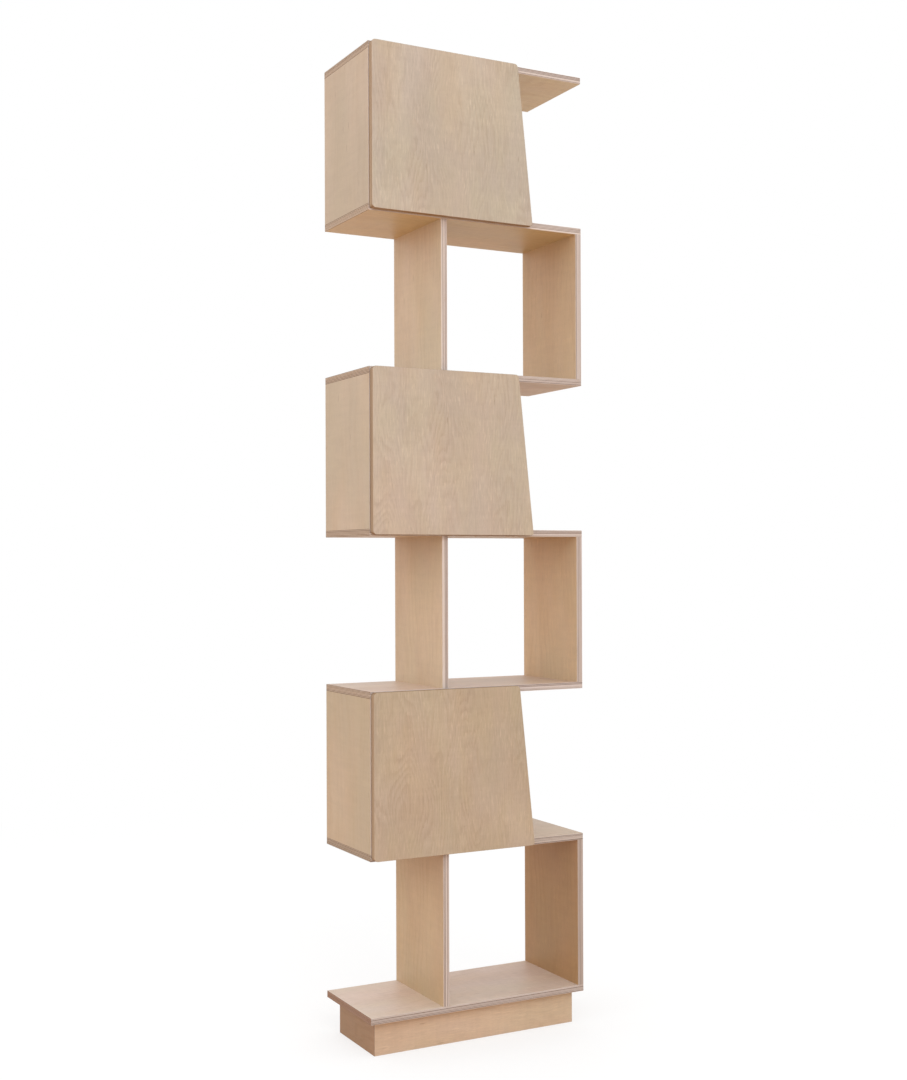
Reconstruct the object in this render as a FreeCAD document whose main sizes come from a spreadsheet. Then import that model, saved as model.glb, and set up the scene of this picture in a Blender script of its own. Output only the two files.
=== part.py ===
import FreeCAD, Part
import os

import Sketcher

# A tall spine bookshelf of birch plywood, in millimetres.
#
# Seven shelf boards lie one above the other on a recessed plinth. Between them stand short
# uprights, so that six levels take turns: the odd levels are open, with an upright near the
# middle and one at the right end, and the even levels are boxes at the left end, each closed
# by a back and by a door. A door overlaps its box, hangs on two concealed cup hinges at its
# left edge, and has a slanted right edge that stands out past the box as the finger grip.
#
# The model's frame: +Z up, +X to the right, the doors face -Y, the floor is Z = 0, and the
# origin is under the middle of the box that holds the whole shelf.

doc = FreeCAD.newDocument("SpineBookshelf")

SIZES = (
    # alias, value, what it is
    ("shelf_width", 540, "length of a shelf board"),
    ("shelf_depth", 240, "depth of a shelf board, front to back"),
    ("board_thickness", 15, "plywood of the shelves, uprights, doors and plinth"),
    ("clear_height", 335, "height between two shelf boards"),
    ("bay_width", 335, "width between the two uprights of a level"),
    ("edge_easing", 0.8, "radius sanded on the boards' edges"),
    ("plinth_height", 75, "height of the plinth boards"),
    ("plinth_side_inset", 17.5, "plinth's ends behind the shelf's ends"),
    ("plinth_front_inset", 22, "plinth's front behind the shelf's front"),
    ("plinth_back_inset", 31, "plinth's back in front of the shelf's back"),
    ("plinth_corner_flat", 1, "sanded flat at a plinth corner, from the corner along each face"),
    ("tongue_thickness", 4, "loose tongues in the plinth's mitres"),
    ("tongue_width", 12, "loose tongues, across the mitre"),
    ("tongue_from_inside", 5.5, "tongues' middles from the inner corner, along each face"),
    ("tongue_clearance", 0.1, "tongue to slot wall, on each face"),
    ("tongue_end_gap", 0.5, "glue space at each edge of a tongue"),
    ("cleat_size", 20, "side of the square cleats in the plinth"),
    ("cleat_end_gap", 10, "cleat's end to the plinth's side board"),
    ("cleat_screw_inset", 45, "outer cleat screws from the cleat's ends"),
    ("cleat_screw_bore", 10, "depth of the cleat screws' bores in the lowest shelf"),
    ("door_gap", 2, "door's back face in front of the carcass"),
    ("door_edge_reveal", 1, "door's left edge inside the box's left face"),
    ("door_top_reveal", 1, "door's top edge under the box's top"),
    ("door_bottom_reveal", 2.5, "door's bottom edge above the box's bottom"),
    ("door_top_setback", 2.5, "door's upper right corner inside the box's right face"),
    ("door_overhang", 35.5, "door's lower right corner past the box's right face"),
    ("door_corner_radius", 9, "radius of three of a door's corners"),
    ("door_tip_radius", 6, "radius of a door's lower right corner"),
    ("dowel_diameter", 8, "wooden dowels"),
    ("dowel_length", 30, "wooden dowels"),
    ("dowel_chamfer", 0.8, "chamfer on a dowel's ends"),
    ("dowel_face_bore", 10.5, "depth of a dowel bore in a board's face"),
    ("dowel_end_gap", 0.5, "glue space at each end of a dowel"),
    ("dowel_clearance", 0.05, "glue space round a dowel, radial"),
    ("dowel_inset", 40, "dowels' axes from the boards' front and back edges"),
    ("back_thickness", 6, "plywood of the backs"),
    ("back_inset", 8, "backs' grooves in front of the boards' back edges"),
    ("groove_depth", 6, "depth of the grooves that hold the backs"),
    ("groove_clearance", 0.1, "back to groove wall, on each face"),
    ("groove_end_gap", 0.5, "back's edge to groove bottom"),
    ("hinge_inset", 70, "hinges' centres from the shelves above and below"),
    ("cup_diameter", 35, "hinge cup"),
    ("cup_depth", 11.5, "hinge cup's body under its flange"),
    ("cup_edge_distance", 3.5, "cup from the door's left edge"),
    ("cup_clearance", 0.1, "cup in its bore, radial and under its bottom"),
    ("cup_floor", 0.8, "thickness of the cup's bottom"),
    ("cup_wall", 2.3, "cup's wall beside its well, at the hinge's middle"),
    ("cup_well_height", 11.6, "well in the cup, along the hinge axis"),
    ("cup_rim", 1.2, "width of the cup's rim round its bore"),
    ("cup_flange_thickness", 0.9, "cup's flange and rim on the door's back face"),
    ("cup_flange_width", 17, "flange across the door"),
    ("cup_flange_height", 62, "flange along the hinge axis"),
    ("cup_screw_spacing", 48, "cup screws' axes"),
    ("arm_pivot_x", 8.5, "pivot in the arm, right of the left panel's inner face"),
    ("arm_pivot_y", -4, "pivot in the arm, from the carcass's front plane"),
    ("cup_pivot_to_wall", 3.7, "pivot in the cup, from the left wall of the well"),
    ("cup_pivot_y", -5.2, "pivot in the cup, from the carcass's front plane"),
    ("link_bend_x", -0.1, "bend of the link, from the left panel's inner face"),
    ("link_floor_gap", 1.5, "bend of the link to the floor of the cup's well"),
    ("link_height", 7, "link along the hinge axis"),
    ("link_half_thickness", 1.5, "half the thickness of the link's plate"),
    ("pivot_eye_radius", 2.5, "outer radius round a hinge pin"),
    ("pin_radius", 1.25, "hinge pins"),
    ("pin_running_fit", 0.05, "hinge pin in the link, radial"),
    ("pin_fixed_fit", 0.02, "hinge pin in the arm or cup, radial"),
    ("cup_pin_length", 17, "pin through the cup"),
    ("arm_width", 10.8, "arm along the hinge axis"),
    ("arm_wall", 1.5, "arm's sheet"),
    ("arm_standoff", 6.4, "arm's web from the left panel's inner face"),
    ("arm_wall_height", 6, "height of the arm's side walls"),
    ("arm_end", 60, "arm's back end from the carcass's front plane"),
    ("arm_web_front", 3, "front end of the arm's web, clear of the link"),
    ("plate_thickness", 1.7, "wings of the mounting plate"),
    ("plate_wing_front", 30, "plate's wings, front edge"),
    ("plate_wing_back", 44, "plate's wings, back edge"),
    ("plate_wing_height", 48, "plate's wings, end to end"),
    ("plate_ridge_front", 20, "plate's ridge, front edge"),
    ("plate_ridge_back", 57, "plate's ridge, back edge"),
    ("plate_ridge_gap", 0.1, "ridge's top to the arm's web"),
    ("plate_screw_y", 37, "plate screws from the panel's front edge"),
    ("plate_screw_spacing", 32, "plate screws' axes"),
    ("arm_screw_front", 29, "front arm screw from the carcass's front plane"),
    ("arm_screw_back", 48, "back arm screw from the carcass's front plane"),
    ("arm_screw_bore", 4.8, "depth of the arm screws' bores in the ridge"),
    ("arm_screw_radius", 2, "machine screw through the arm"),
    ("arm_screw_head_radius", 3.1, "its head"),
    ("arm_screw_length", 5.5, "its shank"),
    ("arm_screw_tip", 0.5, "length of the chamfer at its end"),
    ("wood_screw_radius", 1.5, "wood screws of the hinges and cleats"),
    ("wood_screw_head_radius", 3.2, "their heads"),
    ("plate_screw_length", 13, "screw through the mounting plate"),
    ("cup_screw_length", 11, "screw through the cup's flange"),
    ("cup_screw_head_height", 1.7, "round head of a cup screw"),
    ("arm_screw_head_height", 1.8, "round head of an arm screw"),
    ("screw_clearance", 0.1, "screw in its hole, radial and at its tip"),
    ("screw_recess_width", 0.9, "arm of the cross recess in a screw head"),
    ("screw_recess_length", 3.4, "cross recess, tip to tip"),
    ("screw_recess_depth", 1.1, "depth of the cross recess"),
    ("bumper_radius", 4, "rubber bumpers behind a door"),
    ("bumper_thickness", 1.8, "rubber bumpers, less than the door gap"),
    ("bumper_inset", 28, "bumpers' centres from the shelves above and below"),
)

SHELF_COUNT = 7
OPEN_LEVELS = (1, 3, 5)
CLOSED_LEVELS = (2, 4, 6)

sizes = doc.addObject("Spreadsheet::Sheet", "Sizes")
for row, (alias, value, meaning) in enumerate(SIZES, start=1):
    sizes.set(f"A{row}", alias)
    sizes.set(f"B{row}", str(value))
    sizes.setAlias(f"B{row}", alias)
    sizes.set(f"C{row}", meaning)
doc.recompute()

# Expressions that several sub-parts share. Places are measured from the front left corner of
# the shelf boards at floor level, and place() moves them into the model's frame.

THICKNESS = "Sizes.board_thickness"
WIDTH = "Sizes.shelf_width"
DEPTH = "Sizes.shelf_depth"
CLEAR = "Sizes.clear_height"
FRAME_LEFT = f"({WIDTH} / 2)"
FRAME_FRONT = f"(({DEPTH} - Sizes.door_gap - {THICKNESS}) / 2)"

LEFT_PANEL_X = "0"
INNER_UPRIGHT_X = f"({THICKNESS} + Sizes.bay_width)"
BOX_WIDTH = f"(2 * {THICKNESS} + Sizes.bay_width)"
RIGHT_UPRIGHT_X = f"({WIDTH} - {THICKNESS})"
CENTRE_UPRIGHT_X = f"({RIGHT_UPRIGHT_X} - Sizes.bay_width - {THICKNESS})"

DOWEL_BORE_RADIUS = "(Sizes.dowel_diameter / 2 + Sizes.dowel_clearance)"
DOWEL_IN_FACE = "(Sizes.dowel_face_bore - Sizes.dowel_end_gap)"
DOWEL_END_BORE = f"(Sizes.dowel_length - {DOWEL_IN_FACE} + Sizes.dowel_end_gap)"
DOWEL_ROWS = ("Sizes.dowel_inset", f"({DEPTH} - Sizes.dowel_inset)")

GROOVE_WIDTH = "(Sizes.back_thickness + 2 * Sizes.groove_clearance)"
GROOVE_BACK = f"({DEPTH} - Sizes.back_inset)"
GROOVE_FRONT = f"({GROOVE_BACK} - {GROOVE_WIDTH})"
BACK_IN_GROOVE = "(Sizes.groove_depth - Sizes.groove_end_gap)"

PLINTH_LEFT = "Sizes.plinth_side_inset"
PLINTH_FRONT_Y = "Sizes.plinth_front_inset"
PLINTH_LENGTH = f"({WIDTH} - 2 * Sizes.plinth_side_inset)"
PLINTH_DEPTH = f"({DEPTH} - Sizes.plinth_front_inset - Sizes.plinth_back_inset)"

# The plinth's outer corners, from its front left one: X and Y, each with the sign of the way in.
FRONT_LEFT = (("0", "+"), ("0", "+"))
FRONT_RIGHT = ((PLINTH_LENGTH, "-"), ("0", "+"))
BACK_LEFT = (("0", "+"), (PLINTH_DEPTH, "-"))
BACK_RIGHT = ((PLINTH_LENGTH, "-"), (PLINTH_DEPTH, "-"))
TONGUE_PLACE = f"({THICKNESS} - Sizes.tongue_from_inside)"
TONGUE_SLOT_REACH = "((Sizes.tongue_width / 2 + Sizes.tongue_end_gap) / sqrt(2))"

CLEAT_LEFT = f"(Sizes.plinth_side_inset + {THICKNESS} + Sizes.cleat_end_gap)"
CLEAT_LENGTH = f"({WIDTH} - 2 * {CLEAT_LEFT})"
CLEAT_SCREWS_X = (
    "Sizes.cleat_screw_inset",
    f"({CLEAT_LENGTH} / 2)",
    f"({CLEAT_LENGTH} - Sizes.cleat_screw_inset)",
)
CLEAT_FRONT_Y = f"({PLINTH_FRONT_Y} + {THICKNESS})"
CLEAT_BACK_Y = f"({DEPTH} - Sizes.plinth_back_inset - {THICKNESS} - Sizes.cleat_size)"
CLEAT_SCREW_PLACES = [
    (f"({CLEAT_LEFT} + {x})", f"({row} + Sizes.cleat_size / 2)")
    for row in (CLEAT_FRONT_Y, CLEAT_BACK_Y) for x in CLEAT_SCREWS_X
]
CLEAT_SCREW_LENGTH = "(Sizes.cleat_size + Sizes.cleat_screw_bore - Sizes.screw_clearance)"

DOOR_HEIGHT = f"({CLEAR} + 2 * {THICKNESS} - Sizes.door_top_reveal - Sizes.door_bottom_reveal)"
DOOR_TOP_WIDTH = f"({BOX_WIDTH} - Sizes.door_top_setback - Sizes.door_edge_reveal)"
DOOR_BOTTOM_WIDTH = f"({BOX_WIDTH} + Sizes.door_overhang - Sizes.door_edge_reveal)"

# Heights of the two hinges and the two bumpers of a box, from its floor.
HINGE_HEIGHTS = ("Sizes.hinge_inset", f"({CLEAR} - Sizes.hinge_inset)")
BUMPER_HEIGHTS = ("Sizes.bumper_inset", f"({CLEAR} - Sizes.bumper_inset)")
SCREW_HOLE_RADIUS = "(Sizes.wood_screw_radius + Sizes.screw_clearance)"

TO_RIGHT = FreeCAD.Vector(1, 0, 0)
TO_BACK = FreeCAD.Vector(0, 1, 0)
UP = FreeCAD.Vector(0, 0, 1)

# Turns of the copied pieces, whose masters stand along +Z.
UNTURNED = FreeCAD.Rotation()
TOP_TO_FRONT = FreeCAD.Rotation(TO_RIGHT, 90)
TOP_TO_BACK = FreeCAD.Rotation(TO_RIGHT, -90)
TOP_TO_RIGHT = FreeCAD.Rotation(TO_BACK, 90)
TOP_DOWN = FreeCAD.Rotation(TO_RIGHT, 180)
RIGHT_TO_BACK_RIGHT = FreeCAD.Rotation(UP, 45)
RIGHT_TO_FRONT_RIGHT = FreeCAD.Rotation(UP, -45)

OVERSHOOT = 1  # mm that a cut runs past the face it opens
NEAR = 1e-4  # mm within which two places count as one
PARALLEL = 1e-6  # how far the cosine between parallel lines may be from one
LEAST_CUT = 0.01  # mm3 that a cut takes away at the least


def shelf_bottom(number):
    """Height of the underside of a shelf board; board 1 lies on the plinth."""
    return f"(Sizes.plinth_height + {number - 1} * ({CLEAR} + {THICKNESS}))"


def level_floor(level):
    """Height of the floor of a level, which is the top of the shelf board under it."""
    return f"({shelf_bottom(level)} + {THICKNESS})"


def number_of(expression):
    """Present value of an expression, for the first drawing of a sketch."""
    return float(sizes.evalExpression(expression))


# Drawing and feature helpers


def place(item, x, y, z):
    """Put an item at a place measured from the shelves' front left corner at floor level."""
    item.setExpression("Placement.Base.x", f"{x} - {FRAME_LEFT}")
    item.setExpression("Placement.Base.y", f"{y} - {FRAME_FRONT}")
    item.setExpression("Placement.Base.z", z)


def new_body(label):
    body = doc.addObject("PartDesign::Body", label)
    body.Label = label
    return body


def new_sketch(body, role, offset="0"):
    """Sketch on one of the body's origin planes, moved along the plane's normal by offset."""
    plane = next(item for item in body.Origin.OriginFeatures if item.Role == role)
    sketch = body.newObject("Sketcher::SketchObject", body.Label + "_sketch")
    sketch.AttachmentSupport = [(plane, "")]
    sketch.MapMode = "FlatFace"
    sketch.setExpression("AttachmentOffset.Base.z", offset)
    return sketch


def fix_point(sketch, geometry, vertex, x, y):
    """Hold a point of the sketch at the place that two expressions give."""
    for kind, expression in (("DistanceX", x), ("DistanceY", y)):
        start = number_of(expression)
        index = sketch.addConstraint(Sketcher.Constraint(kind, -1, 1, geometry, vertex, start))
        sketch.setExpression(f"Constraints[{index}]", expression)


def draw_polygon(sketch, corners):
    """Closed outline through corners, each a pair of expressions."""
    starts = [FreeCAD.Vector(number_of(x), number_of(y), 0) for x, y in corners]
    count = len(corners)
    first = sketch.GeometryCount
    for index in range(count):
        sketch.addGeometry(Part.LineSegment(starts[index], starts[(index + 1) % count]), False)
    for index in range(count):
        following = first + (index + 1) % count
        sketch.addConstraint(Sketcher.Constraint("Coincident", first + index, 2, following, 1))
    for index, (x, y) in enumerate(corners):
        fix_point(sketch, first + index, 1, x, y)


def draw_rectangle(sketch, left, low, right, high):
    draw_polygon(sketch, ((left, low), (right, low), (right, high), (left, high)))


def draw_middle_rectangle(sketch, x, y, half_width, half_height):
    """Rectangle with its middle at x, y."""
    draw_rectangle(
        sketch,
        f"{x} - {half_width}", f"{y} - {half_height}",
        f"{x} + {half_width}", f"{y} + {half_height}",
    )


def draw_circle(sketch, x, y, radius):
    centre = FreeCAD.Vector(number_of(x), number_of(y), 0)
    start = number_of(radius)
    circle = sketch.addGeometry(Part.Circle(centre, FreeCAD.Vector(0, 0, 1), start), False)
    fix_point(sketch, circle, 3, x, y)
    index = sketch.addConstraint(Sketcher.Constraint("Radius", circle, start))
    sketch.setExpression(f"Constraints[{index}]", radius)


def draw_bar(sketch, start, end, half_width):
    """Straight bar from start to end, square at its ends, with its middle line between them."""
    (x1, y1), (x2, y2) = start, end
    length = f"sqrt(({x2} - {x1})^2 + ({y2} - {y1})^2)"
    across_x = f"({half_width} * ({y1} - {y2}) / {length})"
    across_y = f"({half_width} * ({x2} - {x1}) / {length})"
    draw_polygon(sketch, (
        (f"{x1} + {across_x}", f"{y1} + {across_y}"),
        (f"{x1} - {across_x}", f"{y1} - {across_y}"),
        (f"{x2} - {across_x}", f"{y2} - {across_y}"),
        (f"{x2} + {across_x}", f"{y2} + {across_y}"),
    ))


def pad(body, sketch, length, midplane=False, backwards=False):
    feature = body.newObject("PartDesign::Pad", body.Label + "_pad")
    feature.Profile = sketch
    feature.setExpression("Length", length)
    feature.Midplane = midplane
    feature.Reversed = backwards
    return feature


def pocket(body, sketch, length, midplane=False, along_normal=False):
    """Cut against the sketch's normal, or along it, or half to each side of its plane."""
    feature = body.newObject("PartDesign::Pocket", body.Label + "_pocket")
    feature.Profile = sketch
    feature.setExpression("Length", length)
    feature.Midplane = midplane
    feature.Reversed = along_normal
    return feature


def dress(body, kind, base, edges, size_name, size):
    """Fillet or chamfer on the named edges of a feature."""
    feature = body.newObject(kind, body.Label + "_edges")
    feature.Base = (base, edges)
    feature.setExpression(size_name, size)
    return feature


def edges_where(feature, chosen):
    """Names of a feature's edges that a test picks."""
    doc.recompute()
    edges = enumerate(feature.Shape.Edges, start=1)
    return [f"Edge{number}" for number, edge in edges if chosen(edge)]


def runs_along(edge, axis):
    """True for a straight edge that is parallel to an axis."""
    if edge.Curve.TypeId != "Part::GeomLine":
        return False
    return abs(abs(edge.Curve.Direction.dot(axis)) - 1) < PARALLEL


def lies_at(edge, axis, place_on_axis):
    """True if both ends and the middle of an edge lie in a plane across an axis."""
    first, last = edge.ParameterRange
    points = [edge.valueAt(first), edge.valueAt((first + last) / 2), edge.valueAt(last)]
    return all(abs(point.dot(axis) - place_on_axis) < NEAR for point in points)


def sink_rims(body, base, axis, place_on_axis, size):
    """Countersink the round holes whose rims lie in a plane across an axis."""
    def is_rim(edge):
        return edge.Curve.TypeId == "Part::GeomCircle" and lies_at(edge, axis, place_on_axis)

    dress(body, "PartDesign::Chamfer", base, edges_where(base, is_rim), "Size", size)


def board_block(label, length, depth, height):
    """Body of a plain board from its own lower front left corner."""
    body = new_body(label)
    sketch = new_sketch(body, "XY_Plane")
    draw_rectangle(sketch, "0", "0", length, depth)
    return body, pad(body, sketch, height)


def ease_edges(body, base, axis=None):
    """Sand the edges of a board: all of them, or those along one axis."""
    names = edges_where(base, lambda edge: axis is None or runs_along(edge, axis))
    dress(body, "PartDesign::Fillet", base, names, "Radius", "Sizes.edge_easing")


def bore(body, role, offset, centres, radius, depth, along_normal=False):
    """Blind bores into a face that lies in an origin plane moved by offset."""
    sketch = new_sketch(body, role, offset)
    for x, y in centres:
        draw_circle(sketch, x, y, radius)
    return pocket(body, sketch, depth, along_normal=along_normal)


def copy_of(master, x, y, z, rotation=UNTURNED):
    """One more solid like the master's, at a place measured as for place()."""
    link = doc.addObject("App::Link", master.Label + "_copy")
    link.LinkedObject = master
    link.Placement = FreeCAD.Placement(FreeCAD.Vector(), rotation)
    place(link, x, y, z)
    return link


def group(label, copies):
    """Sub-part that is a set of separate, identical solids."""
    compound = doc.addObject("Part::Compound", label)
    compound.Label = label
    compound.Links = copies
    return compound


# Carcass


def uprights_of(level):
    """Left faces of the two uprights of a level."""
    if level in OPEN_LEVELS:
        return CENTRE_UPRIGHT_X, RIGHT_UPRIGHT_X
    if level in CLOSED_LEVELS:
        return LEFT_PANEL_X, INNER_UPRIGHT_X
    return ()


def dowel_places(level):
    """Axes of the dowels at one end of a level's uprights."""
    return [(f"({x} + {THICKNESS} / 2)", row) for x in uprights_of(level) for row in DOWEL_ROWS]


def make_shelf(number):
    """Full-width board with the bores and back grooves of the levels above and below it."""
    shelf, block = board_block(f"shelf_{number}", WIDTH, DEPTH, THICKNESS)
    ease_edges(shelf, block)
    for level, offset, upwards in ((number, THICKNESS, False), (number - 1, "0", True)):
        places = dowel_places(level)
        if places:
            bore(shelf, "XY_Plane", offset, places, DOWEL_BORE_RADIUS, "Sizes.dowel_face_bore", upwards)
        if level in CLOSED_LEVELS:
            groove = new_sketch(shelf, "XY_Plane", offset)
            left = f"({THICKNESS} - Sizes.groove_depth)"
            right = f"({INNER_UPRIGHT_X} + Sizes.groove_depth)"
            draw_rectangle(groove, left, GROOVE_FRONT, right, GROOVE_BACK)
            pocket(shelf, groove, "Sizes.groove_depth", along_normal=upwards)
    if number == 1:
        depth = "Sizes.cleat_screw_bore"
        bore(shelf, "XY_Plane", "0", CLEAT_SCREW_PLACES, SCREW_HOLE_RADIUS, depth, True)
    place(shelf, "0", "0", shelf_bottom(number))
    return shelf


def make_upright(label, level, x):
    """Board on edge between two shelves, with dowel bores in both ends."""
    upright, block = board_block(label, THICKNESS, DEPTH, CLEAR)
    ease_edges(upright, block, UP)
    centres = [(f"{THICKNESS} / 2", row) for row in DOWEL_ROWS]
    bore(upright, "XY_Plane", "0", centres, DOWEL_BORE_RADIUS, DOWEL_END_BORE, True)
    bore(upright, "XY_Plane", CLEAR, centres, DOWEL_BORE_RADIUS, DOWEL_END_BORE)
    place(upright, x, "0", level_floor(level))
    return upright


def cut_back_groove(upright, left, right):
    """Groove for the back, over the whole height of an upright of a box."""
    groove = new_sketch(upright, "XY_Plane")
    draw_rectangle(groove, left, GROOVE_FRONT, right, GROOVE_BACK)
    pocket(upright, groove, CLEAR, along_normal=True)


def either_side(height, spacing):
    """Heights of two screws, one half their spacing above a height and one as far below."""
    return f"({height} + {spacing} / 2)", f"({height} - {spacing} / 2)"


def make_left_panel(box, level):
    """Left upright of a box, with the back's groove and the bores for the hinge plates."""
    panel = make_upright(f"left_panel_{box}", level, LEFT_PANEL_X)
    cut_back_groove(panel, f"{THICKNESS} - Sizes.groove_depth", THICKNESS)
    spacing = "Sizes.plate_screw_spacing"
    heights = [z for hinge in HINGE_HEIGHTS for z in either_side(hinge, spacing)]
    screws = [("Sizes.plate_screw_y", z) for z in heights]
    depth = "Sizes.plate_screw_length - Sizes.plate_thickness + Sizes.screw_clearance"
    bore(panel, "YZ_Plane", THICKNESS, screws, SCREW_HOLE_RADIUS, depth)
    return panel


def make_inner_upright(box, level):
    """Right upright of a box, with the back's groove."""
    upright = make_upright(f"inner_upright_{box}", level, INNER_UPRIGHT_X)
    cut_back_groove(upright, "0", "Sizes.groove_depth")
    return upright


def make_back(box, level):
    """Thin back that sits in the grooves of the two uprights and the two shelves."""
    width = f"Sizes.bay_width + 2 * {BACK_IN_GROOVE}"
    height = f"{CLEAR} + 2 * {BACK_IN_GROOVE}"
    back, _ = board_block(f"back_panel_{box}", width, "Sizes.back_thickness", height)
    left = f"{THICKNESS} - {BACK_IN_GROOVE}"
    front = f"{GROOVE_FRONT} + Sizes.groove_clearance"
    place(back, left, front, f"{level_floor(level)} - {BACK_IN_GROOVE}")
    return back


# Plinth


def inside_corner(corner, x_in, y_in):
    """Point inside a corner of the plinth, by its distances from the two outer faces."""
    (x, x_sign), (y, y_sign) = corner
    return f"({x} {x_sign} ({x_in}))", f"({y} {y_sign} ({y_in}))"


def make_plinth_board(label, corners, axis):
    """Board from one plinth corner to the next, mitred at both, with slots for the tongues."""
    board = new_body(label)
    start, end = corners
    outline = new_sketch(board, "XY_Plane")
    draw_polygon(outline, (
        inside_corner(start, "0", "0"),
        inside_corner(end, "0", "0"),
        inside_corner(end, THICKNESS, THICKNESS),
        inside_corner(start, THICKNESS, THICKNESS),
    ))
    block = pad(board, outline, "Sizes.plinth_height")
    ease_edges(board, block, axis)
    flats = new_sketch(board, "XY_Plane")
    slots = new_sketch(board, "XY_Plane")
    outside = f"-{OVERSHOOT}"
    past_flat = f"Sizes.plinth_corner_flat + {OVERSHOOT}"
    near = f"{TONGUE_PLACE} - {TONGUE_SLOT_REACH}"
    far = f"{TONGUE_PLACE} + {TONGUE_SLOT_REACH}"
    half_width = "(Sizes.tongue_thickness / 2 + Sizes.tongue_clearance)"
    for corner in corners:
        draw_polygon(flats, (
            inside_corner(corner, outside, outside),
            inside_corner(corner, past_flat, outside),
            inside_corner(corner, outside, past_flat),
        ))
        draw_bar(slots, inside_corner(corner, near, far), inside_corner(corner, far, near), half_width)
    for sketch in (flats, slots):
        pocket(board, sketch, "Sizes.plinth_height", along_normal=True)
    place(board, PLINTH_LEFT, PLINTH_FRONT_Y, "0")
    return board


def make_cleat(label, y):
    """Square cleat under the lowest shelf, screwed up into it from below."""
    cleat, block = board_block(label, CLEAT_LENGTH, "Sizes.cleat_size", "Sizes.cleat_size")
    centres = [(x, "Sizes.cleat_size / 2") for x in CLEAT_SCREWS_X]
    holes = bore(cleat, "XY_Plane", "0", centres, SCREW_HOLE_RADIUS, "Sizes.cleat_size", True)
    sink_rims(cleat, holes, UP, 0, "Sizes.wood_screw_head_radius - Sizes.wood_screw_radius")
    place(cleat, CLEAT_LEFT, y, "Sizes.plinth_height - Sizes.cleat_size")
    return cleat


# Doors


def round_door_corners(door, base, at_tip, radius):
    """Round the door's lower right corner, or else its other corners."""
    tip_x = number_of(DOOR_BOTTOM_WIDTH)

    def is_corner(edge):
        return runs_along(edge, TO_BACK) and (abs(edge.Vertexes[0].X - tip_x) < NEAR) == at_tip

    return dress(door, "PartDesign::Fillet", base, edges_where(base, is_corner), "Radius", radius)


def ease_door_edges(door, base):
    """Sand the outlines of the door's two faces."""
    front = -number_of(THICKNESS)

    def is_arris(edge):
        return lies_at(edge, TO_BACK, 0) or lies_at(edge, TO_BACK, front)

    dress(door, "PartDesign::Fillet", base, edges_where(base, is_arris), "Radius", "Sizes.edge_easing")


def make_door(box, level):
    """Plywood door with a slanted right edge, two cup bores and the cup screws' bores."""
    door = new_body(f"door_{box}")
    outline = new_sketch(door, "XZ_Plane")
    draw_polygon(outline, (
        ("0", "0"),
        (DOOR_BOTTOM_WIDTH, "0"),
        (DOOR_TOP_WIDTH, DOOR_HEIGHT),
        ("0", DOOR_HEIGHT),
    ))
    panel = pad(door, outline, THICKNESS)
    rounded = round_door_corners(door, panel, False, "Sizes.door_corner_radius")
    rounded = round_door_corners(door, rounded, True, "Sizes.door_tip_radius")
    ease_door_edges(door, rounded)
    cup_x = "(Sizes.cup_edge_distance + Sizes.cup_diameter / 2)"
    heights = [f"({THICKNESS} + {z} - Sizes.door_bottom_reveal)" for z in HINGE_HEIGHTS]
    cups = [(cup_x, z) for z in heights]
    cup_radius = "Sizes.cup_diameter / 2 + Sizes.cup_clearance"
    bore(door, "XZ_Plane", "0", cups, cup_radius, "Sizes.cup_depth + Sizes.cup_clearance", True)
    spacing = "Sizes.cup_screw_spacing"
    screws = [(cup_x, z) for height in heights for z in either_side(height, spacing)]
    depth = "Sizes.cup_screw_length - Sizes.cup_flange_thickness + Sizes.screw_clearance"
    bore(door, "XZ_Plane", "0", screws, SCREW_HOLE_RADIUS, depth, True)
    bottom = f"{shelf_bottom(level)} + Sizes.door_bottom_reveal"
    place(door, "Sizes.door_edge_reveal", "-Sizes.door_gap", bottom)
    return door


# Hinge pieces and fasteners. Each is drawn once as a master and copied to its places. The
# hinge masters share one frame: X from the left panel's inner face, Y from the carcass's front
# plane, Z from the hinge's middle.

DOOR_LEFT = f"(Sizes.door_edge_reveal - {THICKNESS})"
CUP_CENTRE = f"({DOOR_LEFT} + Sizes.cup_edge_distance + Sizes.cup_diameter / 2)"
WELL_HALF_WIDTH = "(Sizes.cup_diameter / 2 - Sizes.cup_wall)"
WELL_FLOOR = "(Sizes.door_gap + Sizes.cup_depth - Sizes.cup_floor)"
CUP_PIVOT_X = f"({CUP_CENTRE} - {WELL_HALF_WIDTH} + Sizes.cup_pivot_to_wall)"
LINK_BEND_Y = f"(Sizes.link_floor_gap + Sizes.link_half_thickness - {WELL_FLOOR})"
ARM_PIVOT = ("Sizes.arm_pivot_x", "Sizes.arm_pivot_y")
CUP_PIVOT = (CUP_PIVOT_X, "Sizes.cup_pivot_y")
LINK_BEND = ("Sizes.link_bend_x", LINK_BEND_Y)
PIN_HOLE = "(Sizes.pin_radius + Sizes.pin_fixed_fit)"
ARM_WEB_TOP = "(Sizes.arm_standoff + Sizes.arm_wall)"
ARM_TOP = f"({ARM_WEB_TOP} + Sizes.arm_wall_height)"
RIDGE_TOP = "(Sizes.arm_standoff - Sizes.plate_ridge_gap)"
ARM_SCREWS_Y = ("Sizes.arm_screw_front", "Sizes.arm_screw_back")


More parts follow.
